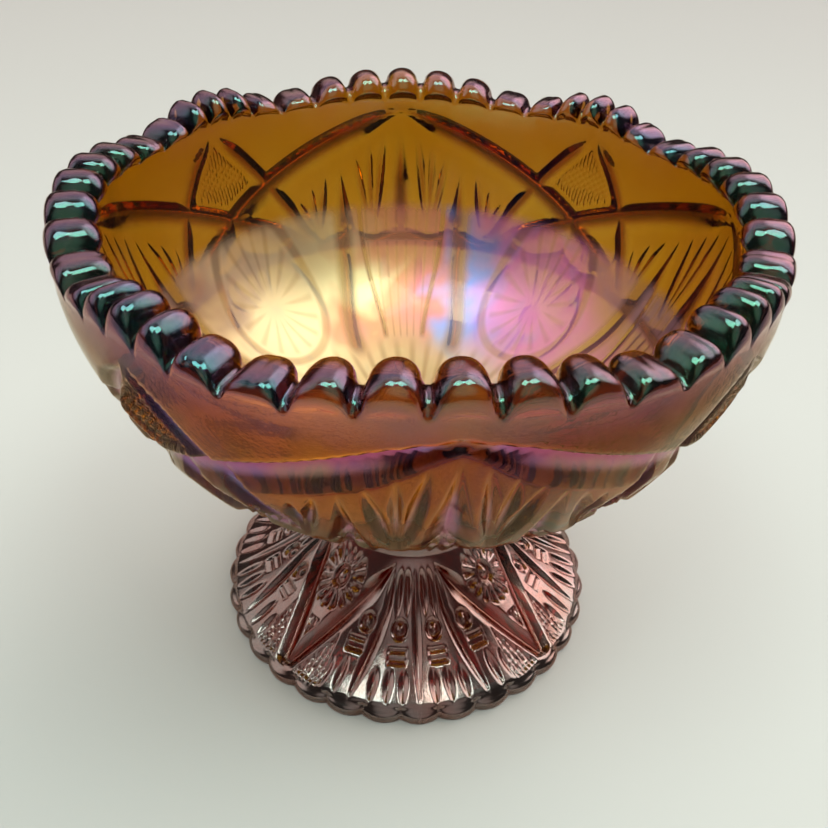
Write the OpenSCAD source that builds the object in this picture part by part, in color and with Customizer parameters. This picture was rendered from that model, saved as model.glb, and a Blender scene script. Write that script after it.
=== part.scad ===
// Footed fruit bowl in pressed glass: a deep bowl with a beaded, waved rim, lifted
// off a separate pedestal base. Millimetres, +Z up, origin at the centre of the
// ring that the base stands on.

/* [Rim] */
// Radius of the circle through the middle of the rim beads
rim_r = 100; // [95:1:105]
// Thickness of the wall at the rim
rim_wall = 10.8; // [9.6:0.2:12]
// Height of the highest beads above the table
crest_z = 171; // [166:1:178]
// How far the beads stand above the edge between them
bead_rise = 6; // [5:0.5:7]
// How far the rim dips between two neighbouring waves
wave_drop = 8; // [5:0.5:9]
// Beads on each wide wave
wide_beads = 7; // [5:2:7]
// Beads on each narrow wave, which stand closer together
narrow_beads = 5; // [3:2:5]
// Angle between the beads of a wide wave
wide_pitch = 8.2; // [7.8:0.1:8.4]
// Angle between the beads of a narrow wave
narrow_pitch = 5.85; // [5.4:0.05:6]

/* [Bowl] */
// Height of the skirt that the fans end in
skirt_z = 110; // [106:1:114]
// Radius of that skirt
skirt_r = 91.5; // [90:0.5:93]
// How far the bowl's underside steps in below the skirt
skirt_step = 3; // [2:0.5:5]
// Number of fans round the bowl, with a pointed groove between each two
fans = 24; // [20:4:28]
// Width of the crossing arches that are cut round the bowl
arch_w = 5; // [3:0.5:6]
// Depth of those arches
arch_depth = 3; // [2:0.5:4]
// Width of the cuts on both sides of each kite, where two arches cross
kite_w = 3.4; // [2:0.2:4]
// Thickness of the bowl's floor
floor_t = 6; // [5:0.5:8]
// Outside radius of the ring under the bowl
ring_r = 34; // [30:1:36]
// Width of that ring
ring_w = 5; // [4:0.5:7]

/* [Pedestal base] */
// Radius of the foot over its scallops
foot_r = 71.5; // [68:0.5:76]
// Number of scallops round the foot
foot_scallops = 32; // [28:4:36]
// Radius of the narrow neck
neck_r = 28; // [26:1:30]
// Height of the neck
neck_z = 40; // [38:1:44]
// Height of the seat that the bowl's ring rests on
seat_z = 60; // [58:1:62]
// Depth of the socket round that seat
socket_depth = 4; // [3:0.5:5]
// Gap between the bowl's ring and the socket's wall
socket_gap = 0.6; // [0.3:0.1:1]
// Thickness of the base's glass
base_t = 6.5; // [5:0.5:8]

/* [Hidden] */
$fn = 96;
quarter = 90;                            // the rim's waves repeat four times round
wide_bead_r = 5.8;
narrow_bead_r = 4.7;
bead_root = 4;                           // how deep a bead runs into the wall
edge_z = crest_z - bead_rise;            // highest point of the edge between beads
rim_out = rim_r + rim_wall / 2;
rim_in = rim_r - rim_wall / 2;
ring_h = 6;                              // height of the ring under the bowl
floor_z = seat_z + ring_h;               // underside of the bowl's floor
wall_bulge = 0.4;                        // how far the wall swells out below its edge
groove_r = 6;                            // radius at the foot of a groove between two fans
groove_out = 2.6;                        // how far its middle stands out of the wall there
groove_h = 42;
groove_lean = 15;                        // degrees that the wall leans out there
arch_z = 107.7;                          // height at which an arch's plane meets the axis
arch_turn = 30;                          // direction in which that plane climbs
arch_tilt = 27.5;
arch_reach = 56;                         // degrees that an arch runs to each side of its point
kite_z = 59.3;                           // height at which a kite side's plane meets the axis
kite_tilt = 52.4;
kite_low = 113;
kite_high = 153;
kite_from = 26;                          // degrees from the wave's middle, out to the diagonal
foot_h = 4;                              // thickness of the foot's scalloped flange
foot_scallop_r = 7.4;
shoulder_r = foot_r - 3.5;               // radius of the foot's top edge
shoulder_z = foot_h + 3;
hollow_r = shoulder_r - 6;               // radius of the hollow under the foot
socket_r = ring_r + socket_gap;
socket_out = socket_r + 5.4;
socket_top = seat_z + socket_depth;

// Points on a shallow curve from a to b that stands off the straight line by sag
// at its middle, to the right of the way it runs
function bow(a, b, sag, steps) =
    let (d = b - a, n = [d[1], -d[0]] / norm(d))
        [for (i = [0:steps]) let (t = i / steps) a + t * d + 4 * sag * t * (1 - t) * n];

// Drop below the middle of a wave at a place t, which is 1 at the wave's end
function drop(t) = wave_drop * t * t;

// Outline of the wall, from the floor up the outside and down the inside
module wall_section() {
    polygon(concat(
        [[0, floor_z], [ring_r + 2, floor_z]],
        bow([ring_r + 4, floor_z + 1], [skirt_r - skirt_step, skirt_z], 6, 10),
        bow([skirt_r, skirt_z + 1], [rim_out + wall_bulge, edge_z - 10], 3.4, 8),
        [[rim_out, edge_z]],
        bow([rim_in, edge_z], [skirt_r - 9, skirt_z - 1], -2.6, 8),
        bow([skirt_r - 11, skirt_z - 5], [10, floor_z + floor_t], -7.5, 10),
        [[0, floor_z + floor_t]]
    ));
}

// A bar through the bowl whose round top gives one wave of the edge on each side
module wave_bar(count, pitch) {
    half_width = rim_r * sin(count / 2 * pitch);
    r = (half_width * half_width + wave_drop * wave_drop) / (2 * wave_drop);
    translate([0, 0, edge_z - r])
        rotate([0, 90, 0])
            cylinder(r = r, h = 3 * rim_r, center = true, $fn = 180);
}

// Everything under the waved edge
module under_edge() {
    cylinder(r = 2 * rim_r, h = edge_z - wave_drop);
    for (q = [0:1]) {
        rotate([0, 0, q * quarter])
            wave_bar(wide_beads, wide_pitch);
        rotate([0, 0, (q + 0.5) * quarter])
            wave_bar(narrow_beads, narrow_pitch);
    }
}

// A finger with a round top that stands in the wall's edge
module bead(r, top) {
    root = top - bead_rise - bead_root;
    translate([rim_r, 0, root])
        cylinder(r = r, h = top - r - root);
    translate([rim_r, 0, top - r])
        sphere(r = r);
}

// One wave of beads, counted from its middle
module bead_wave(count, pitch, r) {
    half = (count - 1) / 2;
    for (i = [-half:half])
        rotate([0, 0, i * pitch])
            bead(r, crest_z - drop(i / (half + 0.5)));
}

// The pointed grooves between the fans, which scallop the skirt
module grooves() {
    for (i = [0:fans - 1])
        rotate([0, 0, i * 360 / fans])
            translate([skirt_r + groove_out, 0, skirt_z - 2])
                rotate([0, groove_lean, 0])
                    cylinder(r1 = groove_r, r2 = 0, h = groove_h);
}

// What is left of the bowl inside the floor of the arches' cuts
module arch_core() {
    rotate_extrude()
        polygon(concat(
            [[0, 0], [skirt_r - arch_depth, 0]],
            bow([skirt_r - arch_depth, skirt_z], [rim_out + wall_bulge - arch_depth, edge_z - 10], 3.4, 8),
            [[rim_out + wall_bulge - arch_depth, crest_z], [0, crest_z]]
        ));
}

// A wedge of space round the axis, from one direction to another
module wedge(from, to, low, high) {
    reach = 2 * rim_r;
    translate([0, 0, low])
        linear_extrude(high - low)
            polygon([[0, 0], [reach * cos(from), reach * sin(from)], [reach * cos(to), reach * sin(to)]]);
}

// One side of an arch, cut along a slanted plane from its point to past the next arch
module arch_side() {
    intersection() {
        translate([0, 0, arch_z])
            rotate([0, 0, -arch_turn])
                rotate([0, -arch_tilt, 0])
                    cube([4 * rim_r, 4 * rim_r, arch_w], center = true);
        wedge(0, arch_reach, seat_z, crest_z);
    }
}

// One side of a kite, cut along a steeper plane from the diagonal down to the skirt
module kite_side() {
    intersection() {
        translate([0, 0, kite_z])
            rotate([kite_tilt, 0, 0])
                cube([4 * rim_r, 4 * rim_r, kite_w], center = true);
        wedge(kite_from, quarter / 2, kite_low, kite_high);
    }
}

// Eight arch sides and eight kite sides, as deep as the core leaves them
module arches() {
    difference() {
        for (q = [0:3], m = [0:1])
            rotate([0, 0, q * quarter])
                mirror([0, m, 0]) {
                    arch_side();
                    kite_side();
                }
        arch_core();
    }
}

module bowl() {
    color([0.74, 0.47, 0.12]) {
        difference() {
            intersection() {
                rotate_extrude()
                    wall_section();
                under_edge();
            }
            grooves();
            arches();
        }
        for (q = [0:3]) {
            rotate([0, 0, q * quarter])
                bead_wave(wide_beads, wide_pitch, wide_bead_r);
            rotate([0, 0, (q + 0.5) * quarter])
                bead_wave(narrow_beads, narrow_pitch, narrow_bead_r);
        }
        translate([0, 0, seat_z])
            difference() {
                cylinder(r = ring_r, h = ring_h + 1);
                translate([0, 0, -1])
                    cylinder(r = ring_r - ring_w, h = ring_h + 1);
            }
    }
}

// Outline of the base: up the outside, across the socket, then down the hollow
module base_section() {
    polygon(concat(
        [[hollow_r, 0], [shoulder_r, 0]],
        bow([shoulder_r, shoulder_z], [neck_r, neck_z], -3.5, 10),
        bow([neck_r, neck_z], [socket_out, socket_top - 3], -2.2, 8),
        [[socket_out, socket_top], [socket_r, socket_top], [socket_r, seat_z]],
        [[0, seat_z], [0, neck_z], [neck_r - base_t - 6, neck_z]],
        bow([neck_r - base_t, neck_z - 5], [hollow_r - 1, 3], 3.5, 8)
    ));
}

// Scalloped ring at the bottom of the foot
module flange() {
    linear_extrude(foot_h)
        difference() {
            union() {
                circle(r = foot_r - 2);
                for (i = [0:foot_scallops - 1])
                    rotate([0, 0, i * 360 / foot_scallops])
                        translate([foot_r - foot_scallop_r, 0])
                            circle(r = foot_scallop_r);
            }
            circle(r = hollow_r);
        }
}

module pedestal_base() {
    color([0.50, 0.32, 0.30]) {
        rotate_extrude()
            base_section();
        flange();
    }
}

bowl();
pedestal_base();
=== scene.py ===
import bpy
import numpy as np
from mathutils import Matrix, Vector


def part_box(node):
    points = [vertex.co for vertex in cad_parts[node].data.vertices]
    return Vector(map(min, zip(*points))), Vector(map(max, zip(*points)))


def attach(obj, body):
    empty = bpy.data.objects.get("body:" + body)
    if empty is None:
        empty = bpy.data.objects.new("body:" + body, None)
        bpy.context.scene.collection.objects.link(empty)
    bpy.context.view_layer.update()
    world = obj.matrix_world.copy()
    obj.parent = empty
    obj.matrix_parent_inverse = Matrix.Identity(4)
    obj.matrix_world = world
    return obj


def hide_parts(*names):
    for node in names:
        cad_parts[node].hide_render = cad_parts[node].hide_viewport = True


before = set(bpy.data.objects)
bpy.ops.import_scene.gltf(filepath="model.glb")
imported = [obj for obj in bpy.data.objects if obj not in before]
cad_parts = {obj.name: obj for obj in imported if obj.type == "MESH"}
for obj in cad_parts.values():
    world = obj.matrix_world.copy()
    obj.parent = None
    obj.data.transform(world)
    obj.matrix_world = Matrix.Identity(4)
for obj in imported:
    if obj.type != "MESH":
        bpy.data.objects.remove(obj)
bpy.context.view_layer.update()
bowlLow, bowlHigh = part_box("bowl")
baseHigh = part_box("pedestal_base")[1]

mm = 0.001
waves = 4                      # the whole pattern repeats four times round
seatZ = bowlLow.z / mm         # heights and radii are in millimetres from here on
crestZ = bowlHigh.z / mm
footR = baseHigh.x / mm


def smoothStep(x, low, high):
    # 0 below low, 1 above high, with a soft S between them
    t = np.clip((x - low) / (high - low), 0, 1)
    return t * t * (3 - 2 * t)


def softEdge(x, soft=0.12):
    # x where it is above 0 and 0 below, with the corner rounded off
    return 0.5 * (x + np.sqrt(x * x + soft * soft))


def vCut(distance, halfWidth, depth):
    # A V-shaped cut: depth * (1 - distance / halfWidth), with its foot and both of its
    # edges eased, and none past its half width.
    rounded = np.sqrt(distance * distance + 0.09) - 0.3
    inside = 1 - rounded / np.maximum(halfWidth, 0.05)
    return depth * np.maximum(softEdge(inside) - 0.02, 0)


def lens(t):
    # width of a leaf: sin(pi * t ** 0.8) ** 0.8, for t from 0 to 1 along it
    u = np.clip(t, 0, 1)
    return np.sin(np.pi * u ** 0.8) ** 0.8


def throughPoints(points, count):
    # Catmull-Rom curve through the points, as count places evenly spread along its length
    p = np.array(points, float)
    p = np.vstack([2 * p[0] - p[1], p, 2 * p[-1] - p[-2]])
    t = np.linspace(0, 1, 24, endpoint=False)[None, :, None]
    a, b, c, d = (p[i:len(p) - 3 + i, None, :] for i in range(4))
    curve = 0.5 * (2 * b + (c - a) * t + (2 * a - 5 * b + 4 * c - d) * t ** 2
                   + (3 * b - a - 3 * c + d) * t ** 3)
    curve = np.vstack([curve.reshape(-1, 2), p[-2:-1]])
    length = np.concatenate([[0], np.cumsum(np.hypot(*np.diff(curve, axis=0).T))])
    at = np.linspace(0, length[-1], count)
    return np.column_stack([np.interp(at, length, curve[:, k]) for k in range(2)])


def sideways(profile):
    # unit vectors across a profile of (radius, height): (dz, -dr) over their length, which
    # is to the right of the way it runs
    along = np.gradient(profile, axis=0)
    along /= np.linalg.norm(along, axis=1, keepdims=True)
    return np.column_stack([along[:, 1], -along[:, 0]])


def around(count):
    # count angles once round, in degrees from the front
    return np.arange(count) * 360.0 / count


def fromFront(angle):
    # angle from the middle of the nearest wide wave, 0 to 45 degrees on either side
    return np.abs((angle + 45) % 90 - 45)


def toRows(radius, height, angle):
    # rows of points (r * sin(angle), -r * cos(angle), z), so angle 0 is the front, at -Y
    turn = np.radians(angle)
    x, y, z = np.broadcast_arrays(radius * np.sin(turn), -radius * np.cos(turn), height)
    return np.stack([x, y, z], axis=-1)


def relief(profile, angle, cutDepth):
    # the profile carried once round, as profile - side * cutDepth
    side = sideways(profile)
    radius = profile[:, 0:1] - side[:, 0:1] * cutDepth
    height = profile[:, 1:2] - side[:, 1:2] * cutDepth
    return toRows(radius, height, angle[None, :])


def makeShell(name, bands, cuts, inner=()):
    # Joins bands of rows into one closed skin. Each row is a ring of points; rings with
    # different counts meet in a row of many-sided faces, and a ring of one is a pole.
    # cuts holds how deep each point of a band is sunk, in mm, for the attribute "cut". The
    # rows of the bands numbered in inner get 1 in the attribute "inside", all others 0.
    rings = [row for band in bands for row in band]
    masks = {"inside": [], "cut": []}
    for k, band in enumerate(bands):
        masks["inside"] += [np.full(len(row), float(k in inner)) for row in band]
        masks["cut"] += list(cuts.get(k, np.zeros(band.shape[:2])))
    counts = np.array([len(r) for r in rings])
    starts = np.concatenate([[0], np.cumsum(counts)])
    corners = []
    sizes = []
    for i in range(len(rings) - 1):
        n, m = counts[i], counts[i + 1]
        few = max(min(n, m), 1)
        if few == 1:
            j = np.arange(max(n, m))
            nxt = (j + 1) % len(j)
            ring = starts[i] if n > 1 else starts[i + 1]
            pole = np.full(len(j), starts[i + 1] if n > 1 else starts[i])
            face = [ring + j, ring + nxt, pole] if n > 1 else [pole, ring + nxt, ring + j]
        else:
            j = np.arange(few)
            lower, upper = n // few, m // few
            face = [starts[i] + (j * lower + k) % n for k in range(lower + 1)]
            face += [starts[i + 1] + (j * upper + k) % m for k in range(upper, -1, -1)]
        face = np.stack(face, axis=1)
        corners.append(face.ravel())
        sizes.append(np.full(len(face), face.shape[1]))
    corners, sizes = np.concatenate(corners), np.concatenate(sizes)
    points = np.concatenate(rings).astype(np.float32) * mm
    mesh = bpy.data.meshes.new(name)
    mesh.vertices.add(len(points))
    mesh.vertices.foreach_set("co", points.ravel())
    mesh.loops.add(len(corners))
    mesh.loops.foreach_set("vertex_index", corners.astype(np.int32))
    mesh.polygons.add(len(sizes))
    mesh.polygons.foreach_set("loop_start", (np.cumsum(sizes) - sizes).astype(np.int32))
    mesh.update(calc_edges=True)
    mesh.validate()
    for key, rows in masks.items():
        values = np.concatenate(rows).astype(np.float32)
        mesh.attributes.new(key, "FLOAT", "POINT").data.foreach_set("value", values)
    mesh.shade_smooth()
    piece = bpy.data.objects.new(name, mesh)
    bpy.context.scene.collection.objects.link(piece)
    triangles = int((sizes - 2).sum())
    print(f"{name}: {len(points)} points, {triangles} triangles")
    return piece


bowlShape = {
    "beadColumns": 24,        # columns on each bead, carried down the wall
    "wall": [(88.5, 104), (91.5, 110), (95.0, 117), (98.3, 125), (101.6, 134),
             (104.2, 144), (105.3, 152), (105.3, 158)],
    "wallRows": 43,
    "floor": [(36, 67), (46, 71.5), (57, 77.5), (75, 91), (85.5, 102.5)],
    "floorRows": 26,
    "inside": [(94.4, 158), (94.0, 150), (92.2, 138), (88.4, 125), (82.5, 111),
               (73.5, 97.5), (60, 86), (44, 78), (24, 73.2), (8, 72.2)],
    "insideRows": 22,
    "ringOut": 34, "ringIn": 29,
    "rimRows": 18,
    "waves": ((0, 7, 8.2), (45, 5, 5.85)),   # middle, beads and degrees between them
    "beadRise": 5.2,          # from the floor of a notch to a bead's top
    "beadWidth": 0.84,        # share of its space that a bead fills
    "beadSwell": (0.8, 3.8),  # how far a bead stands past the wall, outside and inside
    "notchSink": 0.7,         # how far a notch draws in from it
    "notchFall": 0.5,         # and how far its ends fall away
    "waveDrop": 8.0,          # from a wave's highest crest to its end
}

archShape = {
    "top": 155.3,             # height of an arch's point
    "fall": (0.45, 1.12),     # it falls by 0.45 * a ** 1.12, with a in degrees from the point
    "width": (2.6, 7.4),      # half width of the cut above its line and below it
    "depth": 4.2,
    "kiteTop": 156,
    "kiteSide": (0.52, 0.002),   # a kite's side is at a = 45 - 0.52 * h + 0.002 * h * h
    "kiteWidth": 3.4, "kiteDepth": 3.2,
    "fileStep": 2.9,          # distance between the file cuts in a kite
    "fileInset": 3.2,         # and how far inside its sides they start
}

fanShape = {
    "lancets": (0, 15, 30, 45),            # the grooves between the fans, in degrees
    "lancetWidth": 6.0, "lancetHeight": 32, "lancetSlope": 0.84, "lancetDepth": 3.6,
    "fans": (7.5, 22.5, 37.5),
    "leafFoot": 110, "leafWidth": 2.5, "leafSlope": 0.95,
    "spread": 3.4,                         # how far an outer leaf leans out, in degrees
    "hem": (112.5, 5.5),                   # height of the skirt between fans, and its dip under one
    "step": 3.4,                           # how far the wall steps in under the skirt
}


def archLine(side):
    # height of an arch: top - fall * side ** power
    fall, power = archShape["fall"]
    return archShape["top"] - fall * side ** power


def kiteAway(a, z):
    # distance from a kite's side, in mm across the wall: (a - (45 - slope * h + bend * h * h)) * 1.3
    slope, bend = archShape["kiteSide"]
    down = archShape["kiteTop"] - z
    return (a - (45 - slope * down + bend * down ** 2)) * 1.3


def archCuts(a, z):
    # The big arches and the kites: two families of V-shaped mitres. An arch falls from
    # its point at the top of the middle and crosses the next arch at the diagonal. A
    # kite's side runs from the diagonal's top down to the skirt.
    s = archShape
    cut = np.zeros(np.broadcast(a, z).shape)
    for side in (a, 90 - a):
        away = (z - archLine(side)) * 0.92
        width = np.where(away > 0, *s["width"]) * (0.3 + 0.7 * smoothStep(side, 0, 11))
        cut = np.maximum(cut, vCut(away, width, s["depth"] * (0.4 + 0.6 * smoothStep(side, 0, 8))))
    for side in (a, 90 - a):
        grow = smoothStep(s["kiteTop"] - z, 0, 9)
        cut = np.maximum(cut, vCut(kiteAway(side, z), s["kiteWidth"] * grow, s["kiteDepth"] * grow))
    return cut


def kiteFile(a, z):
    # Crossed file cuts that fill the kite, between its sides and above the crossing: the
    # greater of two triangle waves, over x + z and x - z.
    side = kiteAway(a, z) - archShape["fileInset"]
    above = z - archLine(a) - 4.6
    mask = smoothStep(np.minimum(side, above), 0, 1.2)
    x = (a - 45) * 1.75
    step = archShape["fileStep"]
    one = np.abs(((x + z) / step) % 1 - 0.5) * 2
    two = np.abs(((x - z) / step) % 1 - 0.5) * 2
    return mask * (0.3 + 1.7 * np.maximum(one, two) ** 1.5)


def fanCuts(a, z):
    # Twenty-four fans: a lancet between each two, whose width shrinks evenly to its apex,
    # and three slender leaves on each that spread upwards from its foot to just under
    # the arch.
    s = fanShape
    top = 151.5 - 1.05 * a
    cut = np.zeros(np.broadcast(a, z).shape)
    for middle in s["lancets"]:
        apex = 150.5 - 0.95 * middle
        width = s["lancetWidth"] * np.clip((apex - z) / s["lancetHeight"], 0, 1)
        depth = np.minimum(s["lancetSlope"] * width, s["lancetDepth"])
        cut = np.maximum(cut, vCut((a - middle) * 1.7, width, depth))
    for middle in s["fans"]:
        for leaf in (-1, 0, 1):
            tip = 152.0 - 1.08 * (middle + 4 * leaf)
            t = (z - s["leafFoot"]) / np.maximum(tip - s["leafFoot"], 8)
            line = middle + leaf * (0.6 + s["spread"] * np.clip(t, 0, 1))
            width = s["leafWidth"] * lens(t)
            cut = np.maximum(cut, vCut((a - line) * 1.7, width, s["leafSlope"] * width))
    under = smoothStep(top + 3 - z, 0, 3)
    return cut * under


def wallCut(angle, z):
    # The deepest of the arches, fans and file cuts above the hem, and the step below it.
    # The hem is between - dip * sqrt(fan / 7.5), with fan in degrees from a lancet.
    a = fromFront(angle)
    cut = np.maximum(archCuts(a, z), fanCuts(a, z))
    cut = np.maximum(cut, kiteFile(a, z))
    fan = np.abs((a + 7.5) % 15 - 7.5)
    between, dip = fanShape["hem"]
    hem = between - dip * np.sqrt(np.clip(fan / 7.5, 0, 1))
    step = fanShape["step"] * smoothStep(hem - z, -0.3, 1.8)
    return np.maximum(cut * smoothStep(z - hem, -1.5, 1.0), step)


def beadCrests():
    # Angle and height of every bead's crest, once round and back to the first. Crests
    # follow top - drop * t squared, with t from -1 to 1 along a wave.
    s = bowlShape
    places = []
    for quarter in range(waves):
        for middle, count, pitch in s["waves"]:
            k = np.arange(count) - (count - 1) / 2
            height = crestZ - s["waveDrop"] * (2 * k / count) ** 2
            places.append(np.column_stack([90 * quarter + middle + k * pitch, height]))
    places = np.vstack(places)
    return np.vstack([places, places[:1] + [[360, 0]]])


def beadPlaces():
    # Column angles, the same number from each crest to the next, with the height of the
    # crests there and how far each column is up a bead: (1 - q ** 2.3) ** 0.5.
    s = bowlShape
    crests = beadCrests()
    count = len(crests) - 1
    place = np.arange(count * s["beadColumns"]) / s["beadColumns"]
    angle = np.interp(place, np.arange(count + 1), crests[:, 0])
    top = np.interp(place, np.arange(count + 1), crests[:, 1])
    q = np.minimum(2 * np.abs(place - np.round(place)) / s["beadWidth"], 1)
    return angle, top, (1 - q ** 2.3) ** 0.5


def rimRows(angle, top, up):
    # Over the rim from outside to inside: a squarish arch, |cos| ** 0.6 across and
    # |sin| ** 0.56 up, that swells past the wall on a bead and sinks in a notch.
    s = bowlShape
    share = np.linspace(0, 1, s["rimRows"] + 2)[1:-1, None]
    turn = np.pi * (share - 0.11 * np.sin(2 * np.pi * share))
    outer, inner = s["wall"][-1], s["inside"][0]
    middle = (outer[0] + inner[0]) / 2
    half = (outer[0] - inner[0]) / 2
    rise = np.abs(np.sin(turn)) ** 0.56
    across = np.sign(np.cos(turn)) * np.abs(np.cos(turn)) ** 0.6
    swell = np.where(across > 0, *s["beadSwell"]) * up * smoothStep(rise, 0.3, 0.55)
    swell = swell - s["notchSink"] * (1 - up) * smoothStep(rise, 0.4, 1)
    radius = middle + across * (half + swell)
    height = outer[1] + (top - s["beadRise"] * (1 - up) - outer[1]) * rise
    height = height - s["notchFall"] * np.abs(across) ** 3 * (1 - up) * rise
    return toRows(radius, height, angle[None, :])


def floorCut(angle, radius):
    # The underside of the bowl: a fan panel with two drops at each middle, a hobstar disc
    # at each diagonal, broad petals between them and fine rays from the centre. Rays and
    # spokes are triangle waves over the angle; the rest are V cuts along their lines.
    a = fromFront(angle)
    half = 8.0 + 3.4 * smoothStep(radius, 52, 86)
    inPanel = smoothStep(half - a, 0, 0.8) * smoothStep(radius, 53, 55)
    rays = np.abs((a / (half / 4)) % 1 - 0.5) * 2
    cut = inPanel * (0.5 + 1.3 * rays)
    edge = vCut((a - half) * radius / 57.3, 1.6, 2.2) * smoothStep(radius, 50, 54)
    cut = np.maximum(cut, edge)
    drop = np.hypot((a - 4.8) * radius / 57.3, (radius - 79) * 0.4)
    cut = cut + 1.8 * inPanel * smoothStep(2.8 - drop, 0, 2.4)
    x = radius * np.cos(np.radians(45 - a)) - 72
    y = radius * np.sin(np.radians(45 - a))
    out = np.hypot(x, y)
    spoke = np.abs((np.degrees(np.arctan2(y, x)) / 22.5) % 1 - 0.5) * 2
    disc = smoothStep(18 - out, 0, 1.2)
    star = 2.2 * disc * spoke * smoothStep(out, 3, 9) + 2.2 * disc * smoothStep(5 - out, 0, 2)
    cut = np.maximum(cut, star + vCut(out - 20, 2.6, 2.6))
    petal = vCut((a - 16.5 - 5.5 * smoothStep(radius, 86, 50)) * radius / 57.3, 3.2, 2.4)
    cut = np.maximum(cut, petal * smoothStep(out, 21, 24) * smoothStep(radius, 44, 54))
    fine = np.abs((angle / 7.5) % 1 - 0.5) * 2
    return np.maximum(cut, 1.5 * fine * smoothStep(54 - radius, 0, 3))


def makeBowl():
    # the skin from the pole under the floor, out over the ring, up the wall, over the rim
    # and down to the pole inside
    s = bowlShape
    fine, top, up = beadPlaces()
    half, few = fine[::2], fine[::4]
    floorZ = s["floor"][0][1] - 0.5
    ring = [(s["ringIn"] - 3, floorZ), (s["ringIn"], floorZ), (s["ringIn"], seatZ + 0.6),
            (s["ringIn"] + 0.6, seatZ), (s["ringOut"] - 0.6, seatZ), (s["ringOut"], seatZ + 0.6),
            (s["ringOut"], floorZ - 0.6), (s["ringOut"] + 0.8, floorZ)]
    ring = np.array(ring)
    under = toRows(ring[:, 0:1], ring[:, 1:2], few[None, :])
    floor = throughPoints(s["floor"], s["floorRows"])
    lowerCut = floorCut(half[None, :], floor[:, 0:1])
    lower = relief(floor, half, lowerCut)
    wall = throughPoints(s["wall"], s["wallRows"])
    outerCut = wallCut(fine[None, :], wall[:, 1:2])
    outer = relief(wall, fine, outerCut)
    inside = throughPoints(s["inside"], s["insideRows"])
    inner = toRows(inside[:, 0:1], inside[:, 1:2], few[None, :])
    bottom = np.array([[[0, 0, floorZ]]])
    middle = np.array([[[0, 0, inside[-1, 1]]]])
    bands = [bottom, under, lower, outer, rimRows(fine, top, up), inner, middle]
    return makeShell("bowl_glass", bands, {2: lowerCut, 3: outerCut}, inner=(5, 6))


baseShape = {
    "columns": 960,
    "hollow": [(8, 41), (17, 39.5), (23, 34), (33, 20), (46, 9), (58, 2.5), (61, 0.6)],
    "hollowRows": 14,
    "top": [(68.0, 6.6), (60, 11.0), (50, 17.4), (40, 25.4), (33, 33), (29, 38.5), (28, 42)],
    "topRows": 64,
    "collar": [(28, 43), (29.6, 48), (34.5, 56), (39.4, 62.4)],
    "collarRows": 9,
    "socketR": 34.6, "socketTop": 64,
    "scallops": 32, "scallopDepth": 2.2,
}


def segment(x, y, start, end):
    # distance of each point from a straight line, and how far along it is, 0 to 1
    (x0, y0), (x1, y1) = start, end
    dx, dy = x1 - x0, y1 - y0
    size = np.hypot(dx, dy)
    along = ((x - x0) * dx + (y - y0) * dy) / size ** 2
    away = ((x - x0) * dy - (y - y0) * dx) / size
    past = np.maximum(np.maximum(-along, along - 1), 0) * size
    return np.hypot(away, past), along


def polar(radius, degrees):
    # (r * cos(angle), r * sin(angle))
    return radius * np.cos(np.radians(degrees)), radius * np.sin(np.radians(degrees))


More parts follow.
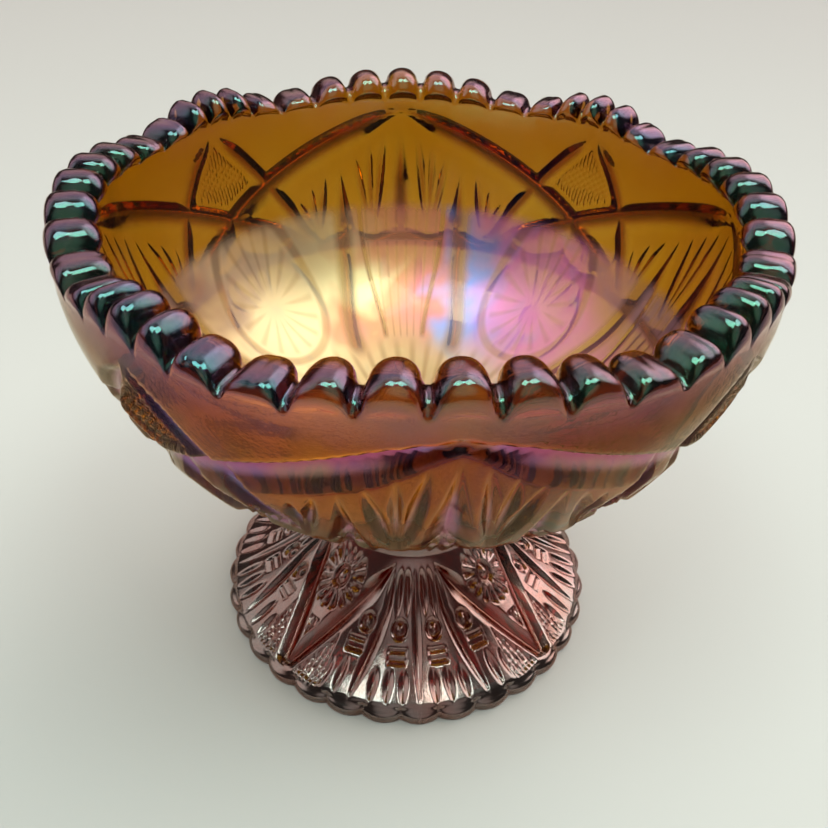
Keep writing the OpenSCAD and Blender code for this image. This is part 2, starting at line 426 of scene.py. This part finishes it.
def footCut(angle, radius):
    # Moulded pattern of the foot, worked out on one eighth of it. x runs outwards along
    # the middle and y across it; every cut is measured from its line or its centre.
    a = fromFront(angle)
    x, y = polar(radius, a)
    cut = np.zeros(x.shape)
    away, along = segment(x, y, polar(30.5, 13), polar(69, 45))      # the broad mitre
    cut = np.maximum(cut, vCut(away, 3.4 * smoothStep(along, -0.02, 0.25), 2.4))
    away, along = segment(x, y, polar(30.5, 0), polar(69, 0))        # leaf on the middle
    cut = np.maximum(cut, vCut(away, 1.5 * lens(along), 1.3 * lens(along)))
    for (start, turn), (stop, end) in (((30.5, 4.5), (43, 4.6)), ((30.5, 9), (44, 9.5)),
                                       ((32, 13.2), (50, 15.5))):     # short leaves at the neck
        away, along = segment(x, y, polar(start, turn), polar(stop, end))
        cut = np.maximum(cut, vCut(away, 1.5 * lens(along), 1.4 * lens(along)))
    away, along = segment(x, y, polar(37, 12.5), polar(69, 21.5))    # long leaf beside it
    cut = np.maximum(cut, vCut(away, 2.3 * lens(along), 1.8 * lens(along)))
    for end, start in ((5.2, 57.5), (10.2, 57.5), (15.2, 58), (26.5, 56.5), (31.5, 58.5), (36.5, 62)):
        away, along = segment(x, y, polar(start, end * 0.97), polar(68.6, end))   # fine rays
        cut = np.maximum(cut, vCut(away, 1.35 * lens(along) + 0.2, 1.2 * lens(along)))
    for middle, out in ((7.6, 46.2), (22.2, 45.5)):                  # round buttons
        cx, cy = polar(out, middle)
        off = np.hypot(x - cx, y - cy)
        cut = np.maximum(cut, 1.5 * smoothStep(3.3 - off, 0, 1.2) - 1.2 * smoothStep(2.0 - off, 0, 2.0))
    for middle, out in ((7.8, 52.2), (7.8, 54.9), (24.5, 50.8), (24.5, 53.4)):   # double bars
        across = (a - middle) * radius / 57.3
        bar = smoothStep(3.7 - np.abs(across), 0, 0.8)
        cut = np.maximum(cut, bar * vCut(radius - out, 1.1, 1.3))
    cx, cy = polar(37.5, 45)                                         # hobstar disc
    off = np.hypot(x - cx, y - cy)
    turn = np.degrees(np.arctan2(y - cy, x - cx)) - 45
    spoke = np.abs((turn / 22.5) % 1 - 0.5) * 2
    disc = smoothStep(9.6 - off, 0, 0.8)
    cut = np.maximum(cut, disc * (1.7 * spoke * smoothStep(off, 2.5, 7) + 1.5 * smoothStep(3.6 - off, 0, 1)))
    knob = 1.4 * smoothStep(2.2 - off, 0, 1.6)
    cut = cut - knob * disc
    side = segment(x, y, polar(30.5, 13), polar(69, 45))[0] - 3.6     # file triangle
    patch = smoothStep(np.minimum(side, radius - 51), 0, 1.0) * np.where(a > 32, 1, 0)
    one = np.abs(((x + y) / 2.6) % 1 - 0.5) * 2
    two = np.abs(((x - y) / 2.6) % 1 - 0.5) * 2
    cut = np.maximum(cut, patch * (0.3 + 1.1 * np.maximum(one, two) ** 1.5))
    fade = smoothStep(radius, 29.5, 33) * smoothStep(68.4 - radius, -0.4, 1.4)
    return cut * fade


def scallops(angle):
    # edge radius of the foot: footR - depth * (1 - |cos(angle * scallops / 2)| ** 0.7)
    s = baseShape
    lobe = np.abs(np.cos(np.radians(angle) * s["scallops"] / 2)) ** 0.7
    return footR - s["scallopDepth"] * (1 - lobe)


def makeBase():
    # the skin from the pole of the hollow, down it, round the scalloped flange, up the foot
    # and the collar, and down into the socket
    s = baseShape
    fine, few = around(s["columns"]), around(s["columns"] // 4)
    hollow = throughPoints(s["hollow"], s["hollowRows"])
    inside = toRows(hollow[:, 0:1], hollow[:, 1:2], few[None, :])
    edge = scallops(fine)
    foot = [(61.8, 0, 0), (66, 0, 0), (70.4, 0, 1), (71.2, 0.5, 1), (71.5, 1.6, 1), (71.5, 3.0, 1),
            (71.1, 4.0, 1), (70.2, 4.6, 0.9), (69.3, 5.1, 0.5), (68.7, 5.9, 0.15)]
    flange = []
    for radius, height, share in foot:
        out = (radius - footR) + footR * (1 - share) + edge * share
        flange.append(toRows(out, np.full_like(fine, height), fine))
    flange = np.stack(flange)
    top = throughPoints(s["top"], s["topRows"])
    topCut = footCut(fine[None, :], top[:, 0:1])
    shoulder = relief(top, fine, topCut)
    collar = throughPoints(s["collar"], s["collarRows"])
    lip = np.array([(40.0, 63.4), (39.4, s["socketTop"]), (s["socketR"] + 0.8, s["socketTop"]),
                    (s["socketR"], s["socketTop"] - 0.8), (s["socketR"], seatZ + 0.6),
                    (s["socketR"] - 0.6, seatZ), (20, seatZ)])
    upper = toRows(np.concatenate([collar, lip])[:, 0:1], np.concatenate([collar, lip])[:, 1:2],
                   few[None, :])
    bottom = np.array([[[0, 0, hollow[0, 1]]]])
    seat = np.array([[[0, 0, seatZ]]])
    return makeShell("base_glass", [bottom, inside, flange, shoulder, upper, seat], {3: topCut})


bowl = makeBowl()
base = makeBase()


class Socket:
    # wraps a node socket so that shader maths is written as Python expressions
    def __init__(self, tree, socket):
        self.tree = tree
        self.socket = socket

    def node(self, kind, settings=None, **values):
        # makes any node from its type, its settings and the values or links of its sockets
        made = self.tree.nodes.new(kind)
        for key, value in (settings or {}).items():
            if key == "stops":
                ramp = made.color_ramp
                while len(ramp.elements) < len(value):
                    ramp.elements.new(0.5)
                for element, (place, colour) in zip(ramp.elements, value):
                    element.position = place
                    element.color = (*colour, 1)
            else:
                setattr(made, key, value)
        for key, value in values.items():
            wanted = key.replace("_", " ")
            index = int(key[1:]) if key[0] == "i" and key[1:].isdigit() else None
            target = made.inputs[index] if index is not None else made.inputs[wanted]
            if isinstance(value, Socket):
                self.tree.links.new(value.socket, target)
            else:
                target.default_value = value
        return made

    def out(self, made, name=0):
        return Socket(self.tree, made.outputs[name])

    def maths(self, operation, *values):
        made = self.node("ShaderNodeMath", {"operation": operation},
                         **{f"i{k}": v for k, v in enumerate(values)})
        return self.out(made)

    def __add__(self, other):
        return self.maths("ADD", self, other)

    __radd__ = __add__

    def __mul__(self, other):
        return self.maths("MULTIPLY", self, other)

    __rmul__ = __mul__

    def __sub__(self, other):
        return self.maths("SUBTRACT", self, other)

    def __rsub__(self, other):
        return self.maths("SUBTRACT", other, self)

    def __truediv__(self, other):
        return self.maths("DIVIDE", self, other)

    def between(self, low, high):
        made = self.node("ShaderNodeMapRange", {"interpolation_type": "SMOOTHSTEP"},
                         Value=self, i1=low, i2=high)
        return self.out(made)


def startMaterial(name):
    # an empty node material, a Socket to build it from, and its Object coordinates
    material = bpy.data.materials.new(name)
    material.use_nodes = True
    tree = material.node_tree
    tree.nodes.clear()
    kit = Socket(tree, None)
    place = kit.out(kit.node("ShaderNodeTexCoord"), "Object")
    return material, kit, place


def noise(kit, place, scale, detail=2.0, roughness=0.5, distortion=0.0):
    # cloudy values about 0.5
    made = kit.node("ShaderNodeTexNoise", Vector=place, Scale=scale, Detail=detail,
                    Roughness=roughness, Distortion=distortion)
    return kit.out(made, "Fac")


def mixColours(kit, share, one, other):
    # one * (1 - share) + other * share
    colours = [c if isinstance(c, Socket) else (*c, 1) for c in (one, other)]
    return kit.out(kit.node("ShaderNodeMix", {"data_type": "RGBA"}, i0=share,
                            i6=colours[0], i7=colours[1]), 2)


def ramp(kit, value, stops):
    # the colour between the two stops that the value lies between
    return kit.out(kit.node("ShaderNodeValToRGB", {"stops": stops}, Fac=value), "Color")


bowlFinish = {
    "tint": ((0.99, 0.90, 0.64), (0.95, 0.76, 0.38)),   # the skin's own colour, in patches
    "body": (0.83, 0.665, 0.0), "density": 450.0,       # marigold amber, by thickness of glass
    "gloss": (1.0, 0.78, 0.48),         # tint of its plain reflections
    "ior": 1.53,
    "films": ((100.0, 1.28), (306.0, 1.60)),   # thickness in nm and ior of the lustre: clear, violet
    "beadFilm": (345.0, 1.80),          # and on the beads, teal and purple
    "beadFade": (0.150, 0.164),         # heights between which that film takes over
    "patch": 22.0,                      # scale of the cloudy patches
    "lustre": 0.035,                    # share of the surface that the metallic bloom covers
    "insideLustre": 0.62,               # and inside, below the second of these two heights
    "insideFade": (0.118, 0.124),
    "bloomRoughness": (0.14, 0.22), "insideRoughness": 0.26,
    "bloom": [(0.30, (1.0, 0.84, 0.50)), (0.42, (0.98, 0.62, 0.50)), (0.50, (0.94, 0.46, 0.64)),
              (0.58, (0.60, 0.38, 0.88)), (0.66, (0.38, 0.62, 0.92)), (0.80, (1.0, 0.86, 0.55))],
    "floorBloom": [(0.18, (0.62, 0.46, 0.36)), (0.27, (1.0, 0.80, 0.48)), (0.40, (0.98, 0.76, 0.42)),
                   (0.46, (0.74, 0.30, 0.17)), (0.54, (0.72, 0.22, 0.22)), (0.60, (0.22, 0.34, 0.80)),
                   (0.67, (0.90, 0.28, 0.60)), (0.76, (0.80, 0.42, 0.36)), (0.86, (0.56, 0.40, 0.50))],
    "floorSpan": 0.27,                  # how far from left to right that row of colours runs
    "cream": (0.95, 0.76, 0.42),        # and the colour in the middle of the floor
    "floorLineShade": (0.45, 0.24, 0.16),   # painted shade: the pattern under the floor as it shows through, painted over the bloom
    "cutShadeTint": (0.42, 0.10, 0.015),      # painted shade: the skin and its bloom turn to these darker colours in the cuts, full at cutDepth mm
    "cutShadeBloom": (0.36, 0.05, 0.13), "cutShadeLustre": 0.80, "cutDepth": 4.2,
}

baseFinish = {
    "tint": ((0.92, 0.62, 0.48), (0.84, 0.48, 0.32)),
    "body": (0.78, 0.15, 0.02), "density": 440.0,
    "gloss": (1.0, 0.46, 0.36),
    "ior": 1.53,
    "films": ((104.0, 1.30), (380.0, 1.64)),
    "patch": 30.0,
    "lustre": 0.22,
    "bloomRoughness": (0.07, 0.20),
    "bloom": [(0.25, (0.90, 0.50, 0.38)), (0.45, (1.0, 0.82, 0.74)), (0.60, (0.95, 0.55, 0.46)),
              (0.75, (0.84, 0.82, 0.78)), (0.88, (0.98, 0.38, 0.18))],
    # painted shade in the foot's cuts: a darker skin and bloom, and less bloom there, so only the ridges
    # keep the bright silver
    "cutShadeTint": (0.74, 0.44, 0.32),
    "cutShadeBloom": (0.72, 0.36, 0.26), "cutShadeLustre": -0.10, "cutDepth": 1.9,
}


def foldedAngle(kit, x, y):
    # degrees from the middle of the nearest wide wave, 0 to 45 on either side
    angle = kit.maths("DEGREES", kit.maths("ARCTAN2", x, y))
    return kit.maths("ABSOLUTE", kit.maths("WRAP", angle, 45.0, -45.0))


def floorPatternShade(kit, place):
    # Painted shade: the pattern under the bowl's floor as it shows from inside, painted on the
    # inner face as soft dark lines along the panels' sides, round the discs and their spokes,
    # and rays from the centre. Each line is 1 - |distance| between its inner and outer half widths, in mm.
    parts = kit.node("ShaderNodeSeparateXYZ", Vector=place)
    x, y = kit.out(parts, "X") * 1000, kit.out(parts, "Y") * 1000
    radius = kit.maths("SQRT", x * x + y * y)
    a = foldedAngle(kit, x, y)
    arc = radius * (np.pi / 180)
    side = kit.maths("ABSOLUTE", (a - (radius.between(52, 86) * 3.4 + 8.0)) * arc)
    panel = (1 - side.between(0.4, 1.6)) * radius.between(50, 54) * 0.8
    inPanel = (8.0 + radius.between(52, 86) * 3.4 - a).between(0, 1) * radius.between(50, 53)
    rays = kit.maths("PINGPONG", a, 1.4).between(0.7, 1.4) * inPanel * 0.35
    head = (1 - kit.maths("ABSOLUTE", radius - 82).between(0.3, 1.2)) * inPanel * 0.7
    turn = (45 - a) * (np.pi / 180)
    u = radius * kit.maths("COSINE", turn) - 72.0
    v = radius * kit.maths("SINE", turn)
    out = kit.maths("SQRT", u * u + v * v)
    ring = (1 - kit.maths("ABSOLUTE", out - 20).between(0.6, 2.4)) * 0.5
    spoke = kit.maths("DEGREES", kit.maths("ARCTAN2", v, u))
    star = kit.maths("PINGPONG", spoke, 11.25).between(5, 11) * out.between(3, 9)
    star = star * (1 - out.between(16, 18)) * 0.28
    petalAt = 16.5 + 5.5 * (1 - radius.between(50, 86))
    petal = kit.maths("ABSOLUTE", (a - petalAt) * arc)
    petal = (1 - petal.between(0.8, 5.4)) * out.between(20, 24) * radius.between(42, 52) * 0.95
    centre = kit.maths("PINGPONG", a, 3.75).between(1.2, 3.7) * (1 - radius.between(44, 54)) * 0.4
    patternShade = kit.maths("MAXIMUM", kit.maths("MAXIMUM", panel, ring), kit.maths("MAXIMUM", petal, centre))
    return kit.maths("MAXIMUM", kit.maths("MAXIMUM", patternShade, head), rays + star)


def floorColours(kit, finish, cloud, parts, patternShade):
    # The bloom low down inside the bowl: a row of colours over x / span + cloud / 2 + 1 / 4,
    # which gives way to cream in the middle, with the pattern's lines painted over both as shade.
    x, y = kit.out(parts, "X"), kit.out(parts, "Y")
    across = x / finish["floorSpan"] + cloud * 0.5 + 0.25
    radius = kit.maths("SQRT", x * x + y * y)
    row = ramp(kit, across, finish["floorBloom"])
    row = mixColours(kit, 0.85 - radius.between(0.036, 0.062) * 0.85, row, finish["cream"])
    return mixColours(kit, patternShade * 0.6, row, finish["floorLineShade"])


def lustreGlass(name, finish):
    # Coloured glass under a thin lustre. The body darkens with its thickness. Two
    # thicknesses of film drift into each other in cloudy patches, and a metallic bloom
    # whose colour drifts too lies over (cloud * 0.8 + 0.6) * lustre of the surface. A bowl
    # has a third film on its beads and far more bloom inside, low down. Painted shade: the
    # skin and the bloom turn darker in the cuts by their depth, the bloom's share there
    # changes too, and inside the bowl dark lines of the pattern under the floor are painted
    # over the bloom.
    material, kit, place = startMaterial(name)
    patch = finish["patch"]
    cloud = noise(kit, place, patch, 3.0, 0.55, 0.4)
    streak = noise(kit, place, patch * 5, 2.0, 0.6)
    drift = noise(kit, place, patch * 0.7, 2.0, 0.5, 0.8).between(0.47, 0.66)
    # painted shade: the skin turns darker and redder with the depth of the cut
    cut = kit.out(kit.node("ShaderNodeAttribute", {"attribute_name": "cut"}), "Fac")
    cut = cut / finish["cutDepth"]
    shadeInCuts, deepShadeInCuts = cut.between(0.02, 0.65), cut.between(0.34, 0.92)
    tintAndCutShade = mixColours(kit, cloud.between(0.35, 0.65), *finish["tint"])
    tintAndCutShade = mixColours(kit, shadeInCuts * 0.95, tintAndCutShade, finish["cutShadeTint"])
    pits = noise(kit, place, 700, 2.0, 0.6)
    bump = kit.out(kit.node("ShaderNodeBump", Strength=0.05, Distance=0.0004, Height=pits), "Normal")

    def skin(thickness, filmIor):
        # clear glass under a film of this thickness in nm
        made = kit.node("ShaderNodeBsdfPrincipled", Base_Color=tintAndCutShade, Roughness=streak * 0.02 + 0.01,
                        IOR=finish["ior"], Transmission_Weight=1.0, Normal=bump,
                        Specular_Tint=(*finish["gloss"], 1),
                        Thin_Film_Thickness=thickness, Thin_Film_IOR=filmIor)
        return kit.out(made)

    def blend(share, one, other):
        return kit.out(kit.node("ShaderNodeMixShader", Fac=share, i1=one, i2=other))

    glass = blend(drift, *[skin(*film) for film in finish["films"]])
    bloom = ramp(kit, cloud * 0.7 + streak * 0.3, finish["bloom"])
    smooth, rough = finish["bloomRoughness"]
    roughness = streak * (rough - smooth) + smooth
    lustre = finish["lustre"]
    if "floorBloom" in finish:
        parts = kit.node("ShaderNodeSeparateXYZ", Vector=place)
        height = kit.out(parts, "Z")
        glass = blend(height.between(*finish["beadFade"]), glass, skin(*finish["beadFilm"]))
        inside = kit.out(kit.node("ShaderNodeAttribute", {"attribute_name": "inside"}), "Fac")
        # painted shade: the lines of the pattern under the floor darken the bloom's colours and thin its
        # share
        patternShade = floorPatternShade(kit, place) * inside
        bloom = mixColours(kit, inside, bloom, floorColours(kit, finish, cloud, parts, patternShade))
        roughness = roughness + inside * finish["insideRoughness"]
        low = 1 - height.between(*finish["insideFade"])
        lustre = inside * low * (1 - patternShade * 0.6) * finish["insideLustre"] + lustre
    # painted shade: in the deep cuts the bloom turns darker, and the cut lustre setting adds to or takes
    # from its share there
    bloom = mixColours(kit, deepShadeInCuts * 0.9, bloom, finish["cutShadeBloom"])
    metal = kit.node("ShaderNodeBsdfPrincipled", Base_Color=bloom, Metallic=1.0, Normal=bump,
                     Roughness=roughness)
    cover = (cloud * 0.8 + 0.6) * lustre + deepShadeInCuts * finish["cutShadeLustre"]
    cover = kit.maths("MAXIMUM", cover, 0.01)
    both = blend(cover, glass, kit.out(metal))
    body = kit.node("ShaderNodeVolumeAbsorption", Color=(*finish["body"], 1), Density=finish["density"])
    end = kit.node("ShaderNodeOutputMaterial")
    kit.tree.links.new(both.socket, end.inputs["Surface"])
    kit.tree.links.new(body.outputs[0], end.inputs["Volume"])
    return material


bowl.data.materials.append(lustreGlass("marigold_lustre_glass", bowlFinish))
base.data.materials.append(lustreGlass("smoky_rose_lustre_glass", baseFinish))

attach(bowl, "bowl")
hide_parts("bowl")
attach(base, "base")
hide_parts("pedestal_base")
print("bowl and base made")


studio = {
    "floorSize": 6.0, "floorColour": (0.53, 0.50, 0.465),
    "dim": 0.07,                             # the dome's strength away from its bright sides
    "brightSides": [                         # direction, strength, and where it starts and is full
        ((-0.10, 0.60, 0.80), 1.3, 0.76, 0.95),
        ((-0.84, 0.10, 0.52), 1.2, 0.84, 0.97),
        ((0.68, 0.34, 0.65), 3.4, 0.80, 0.96),
        ((0.05, -0.80, 0.60), 0.50, 0.82, 0.97),
    ],
    "panes": {"overhead_pane_left": (-0.28, -0.30, 1.20), "overhead_pane_right": (0.26, -0.30, 1.20)},
    "paneSize": (0.50, 0.46), "panePower": 5.6, "paneColour": (0.76, 1.0, 0.96),
}


def makeFloor():
    # a flat square, pale and nearly plain
    half = studio["floorSize"] / 2
    mesh = bpy.data.meshes.new("studio_floor")
    mesh.from_pydata([(-half, -half, 0), (half, -half, 0), (half, half, 0), (-half, half, 0)], [],
                     [(0, 1, 2, 3)])
    floor = bpy.data.objects.new("studio_floor", mesh)
    bpy.context.scene.collection.objects.link(floor)
    material, kit, place = startMaterial("pale_floor")
    shade = noise(kit, place, 3.0, 2.0)
    paint = kit.node("ShaderNodeBsdfPrincipled", Base_Color=(*studio["floorColour"], 1),
                     Roughness=shade * 0.1 + 0.6)
    end = kit.node("ShaderNodeOutputMaterial")
    kit.tree.links.new(paint.outputs[0], end.inputs["Surface"])
    floor.data.materials.append(material)


def makePanes():
    # soft rectangular panes overhead, which give the glints on the beads and the foot
    for name, place in studio["panes"].items():
        light = bpy.data.lights.new(name, "AREA")
        light.shape = "RECTANGLE"
        light.size, light.size_y = studio["paneSize"]
        light.energy = studio["panePower"]
        light.color = studio["paneColour"]
        lamp = bpy.data.objects.new(name, light)
        bpy.context.scene.collection.objects.link(lamp)
        lamp.location = place
        lamp.rotation_mode = "QUATERNION"
        lamp.rotation_quaternion = (Vector((0, 0, crestZ * mm)) - Vector(place)).to_track_quat("-Z", "Y")


def makeDome():
    # Soft light from all round: the strength rises towards each bright side with the dot
    # product of the direction and that side's.
    world = bpy.data.worlds.new("studio")
    world.use_nodes = True
    tree = world.node_tree
    tree.nodes.clear()
    kit = Socket(tree, None)
    direction = kit.out(kit.node("ShaderNodeTexCoord"), "Generated")
    strength = studio["dim"]
    for side, power, start, full in studio["brightSides"]:
        towards = kit.out(kit.node("ShaderNodeVectorMath", {"operation": "DOT_PRODUCT"},
                                   i0=direction, i1=Vector(side).normalized()), "Value")
        strength = towards.between(start, full) * power + strength
    sky = kit.node("ShaderNodeBackground", Color=(1.0, 0.985, 0.96, 1), Strength=strength)
    end = kit.node("ShaderNodeOutputWorld")
    tree.links.new(sky.outputs[0], end.inputs["Surface"])
    bpy.context.scene.world = world


cameraView = {
    "distance": 0.2410, "height": 0.2690,    # out along the floor and up from the origin
    "round": -5.72,                          # degrees round from the front, to the left
    "down": 37.86, "pan": 0.05, "roll": 2.56, "lens": 37.43,
}


def makeCamera():
    # stands at (distance, height) turned round by the first angle, and looks along
    # (sin, cos, 0) * cos(down) with -sin(down) in z, then rolls about that line
    v = cameraView
    turn, down, pan, roll = (np.radians(v[k]) for k in ("round", "down", "pan", "roll"))
    camera = bpy.data.objects.new("camera", bpy.data.cameras.new("camera"))
    camera.data.lens = v["lens"]
    camera.data.sensor_width = 36.0
    camera.data.clip_start, camera.data.clip_end = 0.01, 20
    heading = pan - turn
    ahead = Vector((np.sin(heading) * np.cos(down), np.cos(heading) * np.cos(down), -np.sin(down)))
    right = Vector((np.cos(heading), -np.sin(heading), 0))
    up = right.cross(ahead)
    rolledRight = np.cos(roll) * right + np.sin(roll) * up
    rolledUp = -np.sin(roll) * right + np.cos(roll) * up
    spin = Matrix((rolledRight, rolledUp, -ahead)).transposed().to_4x4()
    place = Vector((v["distance"] * np.sin(turn), -v["distance"] * np.cos(turn), v["height"]))
    camera.matrix_world = Matrix.Translation(place) @ spin
    bpy.context.scene.collection.objects.link(camera)
    bpy.context.scene.camera = camera


makeFloor()
makePanes()
makeDome()
makeCamera()
bpy.context.scene.view_settings.view_transform = "Standard"
print("studio made")
